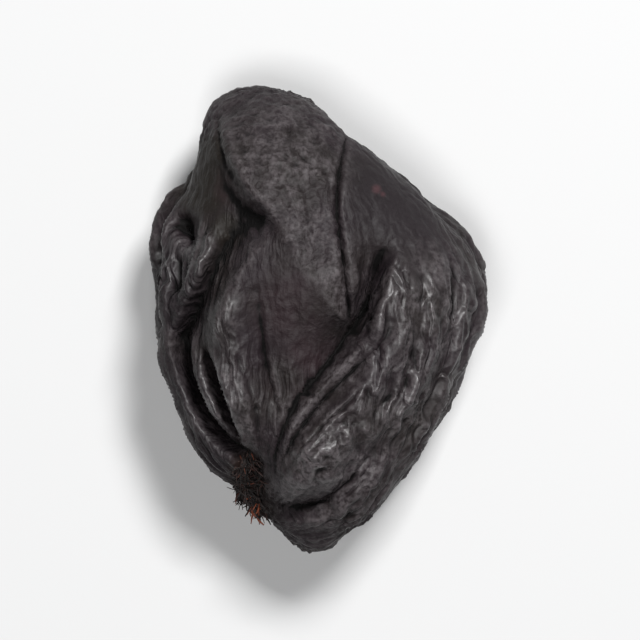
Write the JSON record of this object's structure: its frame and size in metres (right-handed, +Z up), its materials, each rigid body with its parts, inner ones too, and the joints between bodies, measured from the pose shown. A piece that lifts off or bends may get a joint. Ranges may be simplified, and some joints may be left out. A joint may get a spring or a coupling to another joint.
{
  "type": "dried plum",
  "caption": "Dried plum, a heart-shaped shrivelled fruit with a long seam, deep folds that meet at the stem end and wrinkled cheeks, lying on its flatter side.",
  "frame": {"origin": "on the surface that the plum lies on, under the middle of its outline seen from above", "axes": "+Z up, +Y from the stem end to the blossom end, +X to the right seen from above with the blossom end away"},
  "size_m": [0.026, 0.0362, 0.0178],
  "materials": {
    "skin": "near-black purple-brown wrinkled skin, satin with a thin greyish bloom"
  },
  "bodies": {
    "root": {"dried_plum": "skin"}
  },
  "joints": []
}
